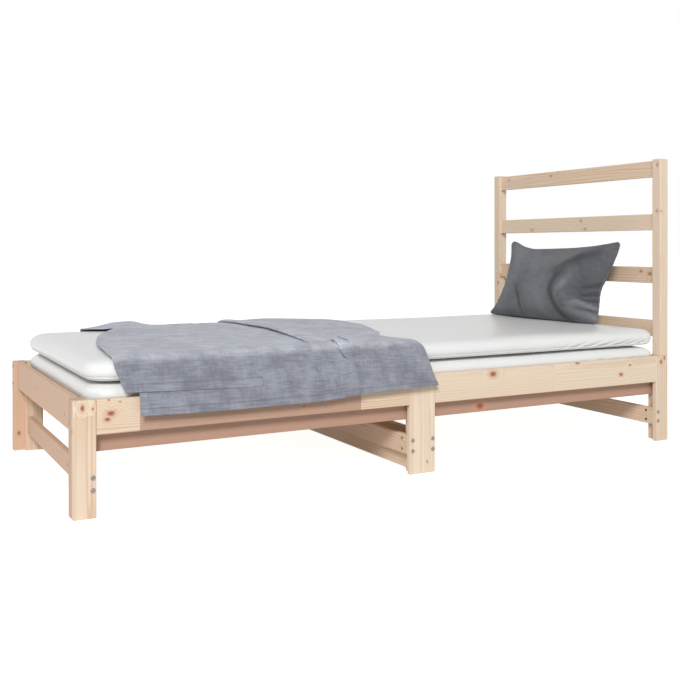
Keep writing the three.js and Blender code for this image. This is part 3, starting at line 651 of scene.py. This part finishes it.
# The way of the cloth from the front hem over the mattress to the back: how far along it lies,
# counted from 0 at the mattress's front, then Y and Z. On top that length is Y itself.
drape = [
    (-123, -20, 249), (-92, -14.5, 280), (-66, -8.5, 306), (-47, -0.5, 324), (-28, 7.5, 342),
    (-9, 14, 360), (6, 18.5, 375), (18, 22.5, 386), (30, 31, 394), (42, 42, 397.5), (56, 56, 398.8),
    (90, 90, 399.4), (200, 200, 399.9), (480, 480, 400.3), (760, 760, 399.9), (860, 860, 399.2),
    (888, 888, 398.2), (905, 904, 394.5), (918, 915, 387), (932, 921.5, 375), (950, 924.5, 357),
    (970, 925.5, 337.6),
]
lower_left = [
    (-123, 166), (-60, 165), (-20, 152), (10, 136), (56, 122), (230, 134), (357, 154), (444, 176),
    (567, 208), (660, 250), (740, 292), (796, 308), (840, 300), (890, 262), (970, 262),
]
lower_right = [
    (-123, 1083), (-100, 1077), (-66, 1069), (-30, 1065), (10, 1056), (30, 1042), (56, 1026), (132, 1004),
    (205, 1006), (250, 1034), (300, 1064), (373, 1080), (470, 1120), (561, 1150), (640, 1152), (780, 1171),
    (888, 1140), (970, 1126),
]
upper_left = [
    (-123, 130), (-62, 127), (-20, 115), (10, 105), (56, 103), (230, 122), (357, 141), (444, 163),
    (567, 197), (660, 239), (740, 288), (770, 299), (798, 290), (822, 260), (842, 228), (866, 212),
    (925, 220), (970, 228),
]
upper_right = [
    (-123, 516), (-62, 516), (-40, 524), (-20, 545), (10, 600), (35, 650), (60, 676), (118, 693),
    (180, 704), (310, 725), (430, 740), (580, 752), (700, 737), (800, 734), (900, 722), (970, 714),
]
lower_hem = [
    (166, 249), (300, 245), (445, 244), (690, 246), (750, 250), (812, 257), (900, 260), (1091, 266),
]
upper_hem = [(128, 311), (300, 305), (516, 299)]
cloth_thick, cloth_lift, hem_width = 1.8, 0.8, 20.0
# How far along the drape the flat top starts and ends, and where the cloth ends at the back.
top_start, top_end, far_end = 62.0, 880.0, 970.0
long_lap = [
    (722, 960, 0.74), (742, 800, 0.95), (745, 700, 1), (760, 580, 1), (748, 430, 0.9), (733, 310, 0.75),
    (712, 180, 0.55), (688, 50, 0.35), (655, -15, 0.12), (640, -60, 0),
]
laps = [
    ([(640, 862, 0), (600, 858, 0.5), (540, 852, 0.6), (480, 846, 0.4), (440, 840, 0)], -0.6),
    ([(800, 150, 0.1), (777, 92, 0.8), (765, 40, 1), (768, 18, 0.9), (776, -4, 0.4), (784, -20, 0)], 0.62),
    ([(872, 238, 0), (850, 191, 0.6), (822, 101, 0.9), (816, 64, 1), (804, 28, 1), (800, 6, 0.5),
      (800, -12, 0)], 0.62),
    ([(826, 216, 0), (804, 182, 0.8), (790, 158, 0)], 0.5),
    ([(732, 46, 0), (750, 28, 0.7), (772, 2, 0.8), (784, -14, 0)], 0.5),
]
ridges = [
    ([(214, 892, 1), (300, 890, 8), (380, 888, 4)], 30, 34),
    ([(410, 970, 17), (385, 880, 16), (350, 800, 11), (330, 690, 6), (330, 560, 0)], 60, 110),
    ([(800, 20, 4), (792, -8, 9), (797, -50, 8.5), (805, -90, 6.5), (812, -123, 5)], 7, 24),
    ([(684, 16, 0), (708, -5, 7), (727, -28, 8.5), (738, -53, 7), (744, -80, 0)], 8, 26),
    ([(800, 34, 0), (806, 17, 6), (829, 0, 9), (851, -15, 9), (884, -36, 5), (925, -60, 0)], 24, 10),
    ([(836, 22, 0), (878, 13, -5), (930, 6, -5), (985, 0, 0)], 12, 12),
    ([(810, -28, 0), (850, -50, -5), (886, -72, -5), (935, -86, 0)], 12, 14),
    ([(600, 60, 0), (640, 10, 5), (668, -30, 5), (690, -80, 0)], 10, 30),
    ([(880, 60, 0), (940, 20, 6), (990, -20, 6), (1030, -70, 0)], 14, 34),
    ([(300, -20, 0), (380, -44, 3.5), (470, -30, 3.5), (560, -60, 0)], 12, 18),
    ([(150, 420, 0), (320, 452, 3.5), (520, 440, 3.5), (640, 420, 0)], 10, 34),
    ([(180, 640, 0), (330, 600, 4.5), (520, 620, 3.5), (660, 640, 0)], 10, 30),
    ([(170, 240, 0), (300, 262, 3), (470, 236, 3.5), (620, 250, 0)], 9, 30),
    ([(740, 520, 0), (860, 470, 4.5), (980, 430, 5), (1090, 400, 2)], 12, 30),
    ([(780, 700, 0), (930, 640, 4.5), (1060, 620, 4.5), (1150, 600, 1)], 12, 30),
    ([(880, 330, 0), (950, 270, 4), (1010, 240, 3), (1060, 210, 0)], 8, 24),
]


def folds_of(x, s):
    """The lie of the throw above the mattress, with the slide of each point: the long lapped fold,
    the pinched creases at the front edge, the ridges at the back and the sides, and slow rumples."""
    lie = lap(x, s, long_lap, 1.3)
    for line, size in laps:
        lie = lie + lap(x, s, line, size)
    behind = np.clip((s - 250) / 600, 0, 1)
    lie[0] = np.maximum(lie[0], behind * 13 * np.exp(-(((x - 900) / 190) ** 2)))
    for line, before, after in ridges:
        lie[0] += fold(x, s, line, before, after)
    lie[0] += 1.5 * (1 + rumple(x, s, 3, 210)) + 0.6 * (1 + rumple(x, s, 4, 60))
    return lie


def cloth_layer(left, right, hem, pivot, lift, grid, foot, hem_level, arch=0.0, sink=0.0):
    """A layer as a surface of two parameters, across from its left to its right edge and along the
    drape. Each point slides with the folds and stands off the drape, square to it, by their height.
    Below the pivot's height the cloth is drawn out or in so that it ends at its hem. The hem is
    turned up double, and the right edge of the upper layer sinks down to the lower one."""
    s = np.concatenate([
        np.linspace(foot, top_start, 54)[:-1], np.linspace(top_start, top_end, 84)[:-1],
        np.linspace(top_end, far_end, 20),
    ])
    start, end = smooth_line(left, s), smooth_line(right, s)
    x = start + (end - start) * grid
    along = np.broadcast_to(s[:, None], x.shape)
    lie, slide_x, slide_y = folds_of(x, along)
    at = (along + slide_y * np.clip((top_end - along) / 40, 0, 1)).ravel()
    way = smooth_line(drape, at)
    run = smooth_line(drape, at + 2) - smooth_line(drape, at - 2)
    out = np.stack([-run[:, 1], run[:, 0]], -1) / np.hypot(*run.T)[:, None]
    settled = np.clip((along - 760) / 50, 0, 1) * np.clip(1 - (x - start) / 110, 0, 1)
    behind = np.clip((top_end + 110 - along) / 110, 0, 1)
    stand = lift + lie * behind * (1 - 0.7 * settled)
    stand = stand + arch * np.exp(-(((along - 846) / 44) ** 2)) * np.exp(-(((x - start) / 60) ** 2))
    stand = stand + 0.9 * np.clip((hem_width + 3 - along + foot) / 6, 0, 1)
    sink_width = 12 + 48 * np.clip((along + 60) / 80, 0, 1)
    ease = np.clip(1 - (end - x) / sink_width, 0, 1)
    stand = (stand - sink * ease * ease * (3 - 2 * ease)).ravel()
    y = (way[:, 0] + out[:, 0] * stand).reshape(x.shape)
    z = (way[:, 1] + out[:, 1] * stand).reshape(x.shape)
    hem_z = np.interp(x, *np.transpose(hem))
    stretch = (pivot - hem_z) / (pivot - hem_level)
    z = np.where(z < pivot, pivot - (pivot - z) * stretch, z)
    flat = np.stack([x / 1000 + (3 if sink else 0), (along - foot) / 1000], -1)
    return skin("layer", laid(np.stack([x + slide_x, y, z], -1)), flat=flat)


def linen_finish():
    """Washed linen, painted lighter where it lies flat, as a painted sheen of the light on its top:
    cloudy mottling with short slubs along weft and warp in the cloth's own flat coordinates, bent by
    slow noise, a fine plain weave as bump, and a stitched line above each hem."""
    material, tree, surface = new_finish("blue_grey_linen")
    flat = shader("ShaderNodeUVMap", {}, tree, uv_map="flat_cloth").outputs[0]
    drift = shader("ShaderNodeTexNoise", {"Vector": flat, "Scale": 9.0, "Detail": 2.0}).outputs[1]
    bent = vector("MULTIPLY_ADD", drift, (0.012, 0.012, 0), flat)
    weft = cloud(vector("MULTIPLY", bent, (20, 190, 1)), 1.0, 3.0, 0.6)
    warp = cloud(vector("MULTIPLY", bent, (190, 26, 1)), 1.0, 3.0, 0.6)
    mottle = scaled(weft, 0.42, scaled(warp, 0.20))
    mottle = scaled(cloud(bent, 19.0, 4.0, 0.66), 0.60, mottle)
    mottle = scaled(cloud(bent, 6.5), 0.36, mottle)
    share = step(mottle, 0.62, 0.97)
    level = shader("ShaderNodeSeparateXYZ", {0: own_place(tree)}).outputs[2]
    # Painted light: the flat top takes lighter colours than the hanging cloth, as a painted sheen.
    painted_top_light_mask = step(level, 0.379, 0.411)
    hanging = blend(share, (0.200, 0.210, 0.248, 1), (0.355, 0.371, 0.420, 1))
    painted_lit_top_colour = blend(share, (0.450, 0.467, 0.525, 1), (0.740, 0.762, 0.830, 1))
    weave = scaled(waves(flat, 330.0, 2.0, "X"), waves(flat, 330.0, 2.0, "Y"))
    threads = blend(weave, (0.90, 0.90, 0.91, 1), (1.06, 1.06, 1.05, 1))
    colour = blend(1.0, blend(painted_top_light_mask, hanging, painted_lit_top_colour), threads, "MULTIPLY")
    from_hem = shader("ShaderNodeSeparateXYZ", {0: flat}).outputs[1]
    from_stitch = number("ABSOLUTE", number("SUBTRACT", from_hem, hem_width / 1000))
    stitched = drop(from_stitch, 0.0006, 0.0022)
    height = scaled(stitched, -1.6, scaled(mottle, 2.2, weave))
    give(surface, {
        "Base Color": blend(scaled(stitched, 0.42), colour, (0.12, 0.125, 0.15, 1)),
        "Normal": relief(height, 0.45, 0.0006), "Roughness": 0.75, "Specular IOR Level": 0.3,
        "Sheen Weight": 0.5, "Sheen Roughness": 0.4, "Sheen Tint": (0.90, 0.93, 1.0, 1),
    })
    return material


# The columns lie closest where the folds are.
lower_grid = np.concatenate([
    np.linspace(0, 0.40, 20)[:-1], np.linspace(0.40, 0.64, 62)[:-1],
    np.linspace(0.64, 0.83, 110)[:-1], np.linspace(0.83, 1, 28),
])
upper_grid = np.concatenate([np.linspace(0, 0.86, 56)[:-1], np.linspace(0.86, 1, 16)])
layers = [
    cloth_layer(lower_left, lower_right, lower_hem, 300.0, cloth_lift, lower_grid, -123, 249.0),
    cloth_layer(
        upper_left, upper_right, upper_hem, 352.0, cloth_lift + cloth_thick + 0.9, upper_grid,
        -63, 308.5, 1.0, cloth_thick + 1.2,
    ),
]
blanket = joined("blanket_linen", layers, linen_finish(), "pullout_frame", closed=False)
wall = blanket.modifiers.new("cloth", "SOLIDIFY")
wall.thickness, wall.offset = cloth_thick / 1000, 1.0
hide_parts("blanket")

# --------
# Pillow. A feather-filled pillow in a charcoal cotton slip with a corded seam. It leans on the
# headboard, slumped to the front, so its foot bellies out and its face creases into an S.

# The seam's four sides as X, Y and Z: up the right, up the left, and along the foot and the top
# from right to left.
seam_right = [
    (1948, 214, 401), (1949, 214, 420), (1949, 210, 472), (1944, 199, 528), (1957, 162, 602),
    (1973, 138, 660), (1984, 131, 706),
]
seam_left = [
    (1950, 868, 403), (1944, 831, 425), (1940, 799, 448), (1938, 752, 509), (1948, 730, 592),
    (1964, 734, 651), (1985, 759, 712),
]
seam_foot = [
    (1948, 214, 401), (1941, 330, 400), (1938, 500, 400), (1940, 700, 400), (1944, 810, 400),
    (1950, 868, 403),
]
seam_top = [
    (1984, 131, 706), (1986, 194, 698), (1997, 285, 689), (2011, 409, 682), (2021, 540, 679),
    (2001, 636, 677), (1991, 688, 688), (1988, 725, 707), (1985, 759, 712),
]


def seam_side(rows, at):
    """A smooth curve through a side's corners at shares of its length from 0 to 1."""
    rows = np.asarray(rows, float)
    length = np.concatenate([[0], np.cumsum(np.linalg.norm(np.diff(rows, axis=0), axis=1))])
    fine = np.linspace(0, length[-1], 400)
    line = np.stack([np.interp(fine, length, column) for column in rows.T], -1)
    for _ in range(90):
        line[1:-1] = (line[:-2] + line[1:-1] + line[2:]) / 3
    return np.stack([np.interp(at * length[-1], fine, column) for column in line.T], -1)


# Its width, its height as it stands and along its slant, its lean in radians, how round its corners
# are and how far in from the seam its ridges reach their full height.
pillow_width, pillow_height, pillow_slant = 620.0, 300.0, 330.0
pillow_lean, corner_radius, seam_reach = 0.262, 20.0, 26.0
front_belly, back_belly = 60.0, 66.0
# The height that it rests on, the X that it leans against, and how softly it flattens there.
pillow_rest, pillow_stop = 397.4, 2040.0
rest_softness, stop_softness = 1.5, 3.0
# The front's ridges as lines of Y, Z and height, with half widths.
pillow_ridges = [
    ([(190, 690, 14), (262, 650, 26), (350, 606, 24), (450, 580, 0)], 60, 36),
    ([(256, 584, 4), (288, 560, 20), (312, 528, 27), (326, 498, 28), (328, 470, 27), (320, 441, 22),
      (300, 418, 12)], 42, 50),
    ([(612, 560, 0), (572, 512, 10), (550, 473, 13), (544, 438, 13), (554, 406, 8)], 22, 50),
    ([(158, 740, 48), (200, 470, 24)], 150, 30),
    ([(290, 446, 4), (200, 452, 16)], 40, 30),
    ([(290, 504, -2), (190, 522, -16)], 40, 36),
    ([(745, 700, 3), (700, 650, 8), (660, 600, 6), (620, 560, 0)], 24, 36),
    ([(640, 604, 0), (540, 622, 9), (360, 606, 0)], 44, 34),
    ([(235, 530, 0), (210, 542, 7), (178, 566, 7)], 9, 8),
    ([(250, 500, 0), (222, 511, 8), (182, 533, 8)], 9, 8),
    ([(260, 474, 0), (228, 482, 8), (194, 496, 8)], 9, 8),
    ([(275, 462, 0), (240, 470, 7), (200, 472, 7)], 10, 8),
    ([(275, 426, 0), (240, 432, 6), (205, 437, 6)], 10, 8),
    ([(800, 412, 4), (700, 426, 6), (620, 418, 0)], 16, 16),
]
# Painted shade and highlight on the front: where it lies in deep creases it is painted darker, as
# lines of Y, Z and depth from 0 to 1, with half widths, and in the last six it is painted lighter on
# its crests, with a depth below 0.
pillow_painted_shading = [
    ([(335, 576, 0.3), (378, 563, 0.9), (405, 535, 1), (404, 503, 1), (393, 479, 1), (373, 443, 1),
      (352, 418, 0.9), (325, 403, 0.6)], 15, 16),
    ([(667, 548, 0), (625, 512, 0.7), (602, 479, 0.9), (591, 439, 0.9), (589, 415, 0.5)], 14, 9),
    ([(191, 656, 0.4), (263, 632, 0.7), (331, 608, 0.8), (400, 590, 0.6), (462, 580, 0)], 12, 22),
    ([(150, 680, 0.55), (232, 524, 0.7)], 75, 80),
    ([(262, 448, 0.2), (225, 446, 0.9), (206, 446, 0.7)], 8, 8),
    ([(262, 520, 0), (212, 532, 0.5), (176, 554, 0.5)], 6, 6),
    ([(264, 494, 0), (222, 501, 0.6), (184, 522, 0.6)], 6, 6),
    ([(270, 486, 0), (228, 478, 0.7), (196, 488, 0.7)], 6, 6),
    ([(288, 552, -0.5), (317, 528, -1.3), (350, 506, -1.2), (362, 483, -1), (342, 460, -0.5)], 20, 13),
    ([(300, 456, -0.5), (271, 472, -1.2), (240, 465, -1.2), (212, 455, -1)], 13, 9),
    ([(320, 434, -0.3), (271, 430, -1.1), (238, 424, -1.2), (214, 418, -0.9)], 10, 12),
    ([(690, 660, -0.3), (690, 595, -0.5), (712, 509, -0.6), (745, 429, -0.5)], 40, 50),
    ([(640, 650, -0.2), (540, 622, -0.4), (455, 612, -0.4), (361, 628, -0.2)], 32, 32),
    ([(540, 590, -0.2), (478, 540, -0.3), (470, 460, -0.3)], 36, 36),
]


def cornered(u, v):
    """Shares of a face's width and height, drawn in near its corners as a square is to a round one."""
    near_u = np.clip(1 - np.minimum(u, 1 - u) * pillow_width / corner_radius, 0, 1)
    near_v = np.clip(1 - np.minimum(v, 1 - v) * pillow_slant / corner_radius, 0, 1)
    in_u = near_u * (1 - np.sqrt(1 - near_v**2 / 2)) * corner_radius / pillow_width
    in_v = near_v * (1 - np.sqrt(1 - near_u**2 / 2)) * corner_radius / pillow_slant
    return u + np.sign(0.5 - u) * in_u, v + np.sign(0.5 - v) * in_v


def pillow_face(u, v, front):
    """A face of the pillow, and for each point a share from -1 to 1 of painted shade in its crease or,
    below 0, of painted highlight on its crest. Its seam surface blends the four sides (each pair
    mixed, less the mix of the corners); the face stands off it, square to the lean, by a swell that is
    0 at the seam, more at the foot, and creased on the front. It flattens on the mattress and short of
    the headboard."""
    at_u, at_v = cornered(u, v)
    right, left = seam_side(seam_right, at_v), seam_side(seam_left, at_v)
    foot, top = seam_side(seam_foot, at_u), seam_side(seam_top, at_u)
    a, b = at_u[..., None], at_v[..., None]
    ends = np.array([(side[0], side[-1]) for side in (seam_foot, seam_top)], float)
    (low_right, low_left), (top_right, top_left) = ends
    corners = (1 - a) * (1 - b) * low_right + a * (1 - b) * low_left
    corners = corners + (1 - a) * b * top_right + a * b * top_left
    seam = (1 - a) * right + a * left + (1 - b) * foot + b * top - corners
    across, up = 2 * u - 1, 2 * v - 1
    from_side, from_end = np.minimum(u, 1 - u) * pillow_width, np.minimum(v, 1 - v) * pillow_height
    border = np.minimum(from_side, from_end)
    swell = ((1 - np.abs(across) ** 2.2) * (1 - np.abs(up) ** np.where(up < 0, 2.6, 2.2))) ** 0.52
    plump = 1 - 0.16 * up - 0.18 * np.clip(up, 0, 1)
    away = (front_belly * (1 - 0.3 * across**2) if front else back_belly) * swell * plump
    y, z = seam[..., 1], seam[..., 2]
    if front:
        near = (1 - np.exp(-from_side / seam_reach)) * (1 - np.exp(-from_end / seam_reach))
        away = away + near * folded(y, z, pillow_ridges)
    pucker = np.clip(border / 8, 0, 1) * np.exp(-((border / 30) ** 2))
    away = away + 3.4 * pucker * rumple(y, z, 5 + front, 26, 9)
    away = away + 2.4 * rumple(y, z, 11 + front, 170) * np.clip(border / 60, 0, 1)
    away = away + 1.1 * rumple(y, z, 21 + front, 48, 9) * np.clip(border / 40, 0, 1)
    way = -1 if front else 1
    # Painted shading for the colour: how deep each point lies in a crease, below 0 on a crest.
    painted_shading = folded(y, z, pillow_painted_shading) if front else np.zeros(u.shape)
    x = seam[..., 0] + way * away * np.cos(pillow_lean)
    z = z - way * away * np.sin(pillow_lean)
    x = pillow_stop - np.log1p(np.exp((pillow_stop - x) / stop_softness)) * stop_softness
    z = pillow_rest + np.log1p(np.exp((z - pillow_rest) / rest_softness)) * rest_softness
    return np.stack([x, y, z], -1), np.clip(painted_shading, -1, 1)


def slip_finish():
    """Charcoal cotton: a plain weave of slightly uneven threads, lighter on its raised threads, with
    slow tone changes, all in object coordinates. Painted shade darkens it where the slip lies in a
    crease, and a painted highlight lightens it where it stands in a crest."""
    material, tree, surface = new_finish("charcoal_cotton")
    place = own_place(tree)
    upright = cloud(vector("MULTIPLY", place, (420, 420, 22)), 1.0)
    level = cloud(vector("MULTIPLY", place, (22, 22, 420)), 1.0)
    mottle = scaled(level, 0.5, scaled(upright, 0.5))
    mottle = scaled(cloud(place, 11.0), 0.4, mottle)
    share = step(mottle, 0.45, 0.95)
    colour = blend(share, (0.117, 0.122, 0.134, 1), (0.192, 0.198, 0.216, 1))
    crease = shader("ShaderNodeAttribute", {}, tree, attribute_name="crease").outputs["Fac"]
    # Painted shade in the creases, then painted highlight on the crests.
    for strength, tone in ((0.74, (0.038, 0.040, 0.046, 1)), (-0.48, (0.315, 0.322, 0.345, 1))):
        colour = blend(number("MAXIMUM", scaled(crease, strength), 0.0), colour, tone)
    give(surface, {
        "Base Color": colour, "Normal": relief(mottle, 0.35, 0.0006),
        "Roughness": 0.85, "Specular IOR Level": 0.25, "Sheen Weight": 0.06, "Sheen Roughness": 0.45,
    })
    return material


def eased(count):
    """Shares from 0 to 1: an even spread mixed with half a cosine wave, which packs both ends."""
    even = np.linspace(0, 1, count)
    return 0.35 * even + 0.65 * (0.5 - 0.5 * np.cos(np.pi * even))


columns, rows = 210, 110
u, v = np.meshgrid(eased(columns), eased(rows))
(front_face, front_painted_shading), (back_face, back_painted_shading) = pillow_face(u, v, True), pillow_face(u, v, False)
shared = (front_face + back_face) / 2
for face in (front_face, back_face):
    face[[0, -1]], face[:, [0, -1]] = shared[[0, -1]], shared[:, [0, -1]]
ring = np.concatenate([front_face, back_face[:, -2:0:-1]], 1)
slip = skin("slip", laid(ring), around=True)
# Each point's painted shade and highlight, kept for the slip's colour.
crease = slip.data.attributes.new("crease", "FLOAT", "POINT")
crease.data.foreach_set("value", np.concatenate([front_painted_shading, back_painted_shading[:, -2:0:-1]], 1).ravel())
edge = np.concatenate([shared[0, :-1], shared[:-1, -1], shared[-1, :0:-1], shared[:0:-1, 0]])
cord_radius, cord_sides = 1.5, 8
way = np.roll(edge, -1, 0) - np.roll(edge, 1, 0)
way /= np.linalg.norm(way, axis=1)[:, None]
lean = np.array([-np.cos(pillow_lean), 0, np.sin(pillow_lean)])
level = np.cross(way, lean)
level /= np.linalg.norm(level, axis=1)[:, None]
angle = (np.arange(cord_sides) * 2 * np.pi / cord_sides)[:, None]
spokes = np.cos(angle) * level[:, None] + np.sin(angle) * np.cross(level, way)[:, None]
cord = edge[:, None] + cord_radius * spokes
cord[..., 2] = np.maximum(cord[..., 2], pillow_rest - 0.2)
seam_cord = skin("seam_cord", laid(np.concatenate([cord, cord[:1]])), around=True)
pillow = joined("pillow_slip", [slip, seam_cord], slip_finish(), "pullout_frame")
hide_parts("pillow")

# --------
# Studio. A white floor that runs out into a white backdrop, one broad lamp high in front, soft
# light from the world all round, and the camera low by the foot end of the bed.
seen_light, floor_light, world_light = 0.74, 0.12, 0.26


def seen_more(tree, light):
    """The strength of a light that rays from the camera, from a shiny face or through a clear piece
    see stronger than the light that it sends on."""
    rays = shader("ShaderNodeLightPath", {}, tree).outputs
    shown = number("MAXIMUM", rays["Is Glossy Ray"], rays["Is Transmission Ray"])
    return scaled(number("MAXIMUM", rays["Is Camera Ray"], shown), seen_light, light)


floor_reach = (-60.0, 60.0)
floor = skin("floor", np.array([[(x, y, 0) for x in floor_reach] for y in floor_reach]))
floor_paint, tree, surface = new_finish("floor_paint")
give(surface, {
    "Base Color": (0.80, 0.80, 0.80, 1), "Roughness": 0.9, "Specular IOR Level": 0.0,
})
glow = shader("ShaderNodeEmission", {"Strength": seen_more(tree, floor_light)})
both = shader("ShaderNodeAddShader", {0: surface.outputs[0], 1: glow.outputs[0]})
give(tree.nodes["Material Output"], {"Surface": both.outputs[0]})
floor.data.materials.append(floor_paint)

world = bpy.data.worlds.new("studio")
bpy.context.scene.world = world
world.use_nodes = True
tree = world.node_tree
give(tree.nodes["Background"], {
    "Color": (1, 1, 1, 1), "Strength": seen_more(tree, world_light),
})

light = bpy.data.lights.new("front_lamp", "AREA")
light.shape, light.size, light.energy = "SQUARE", 3.2, 1075
lamp = placed("front_lamp", light)
lamp.location = (-5.58, -8.36, 6.84)
aim = Vector((0, 0, 0.3)) - lamp.location
lamp.rotation_euler = aim.to_track_quat("-Z", "Y").to_euler()

lens = bpy.data.cameras.new("camera")
lens.sensor_width, lens.lens = 36, 49.07
lens.shift_x, lens.shift_y = -0.00735, -0.1356
camera = placed("camera", lens)
camera.location = laid((-502.6, -2360.1, 683.9))
camera.rotation_euler = (np.pi / 2, 0, np.radians(-28.37))
bpy.context.scene.camera = camera
bpy.context.scene.view_settings.view_transform = "Standard"
